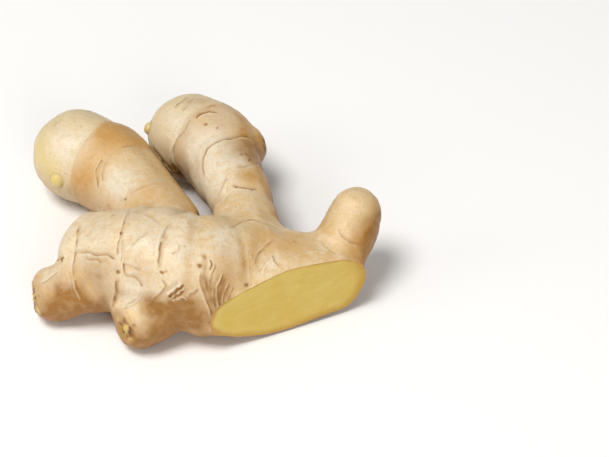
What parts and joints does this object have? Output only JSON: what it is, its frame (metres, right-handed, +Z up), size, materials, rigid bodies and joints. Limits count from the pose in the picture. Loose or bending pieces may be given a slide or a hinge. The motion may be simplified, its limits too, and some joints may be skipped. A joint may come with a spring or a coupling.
{
  "type": "ginger root",
  "caption": "Hand of fresh ginger lying on its underside: a ringed body with long fingers, stubby knobs, a short shoot and one flat cut face.",
  "frame": {"origin": "on the table that the root lies on, under the middle of its bounding box", "axes": "+Z up; +X along the ringed body, towards the shoot; +Y away from the cut face, the way the long fingers point"},
  "size_m": [0.1169, 0.1108, 0.0365],
  "materials": {
    "ginger_skin": "thin waxy tan skin with brown ring scars; pale yellow moist flesh on the cut face"
  },
  "bodies": {
    "root": {"ginger_root": "ginger_skin"}
  },
  "joints": []
}
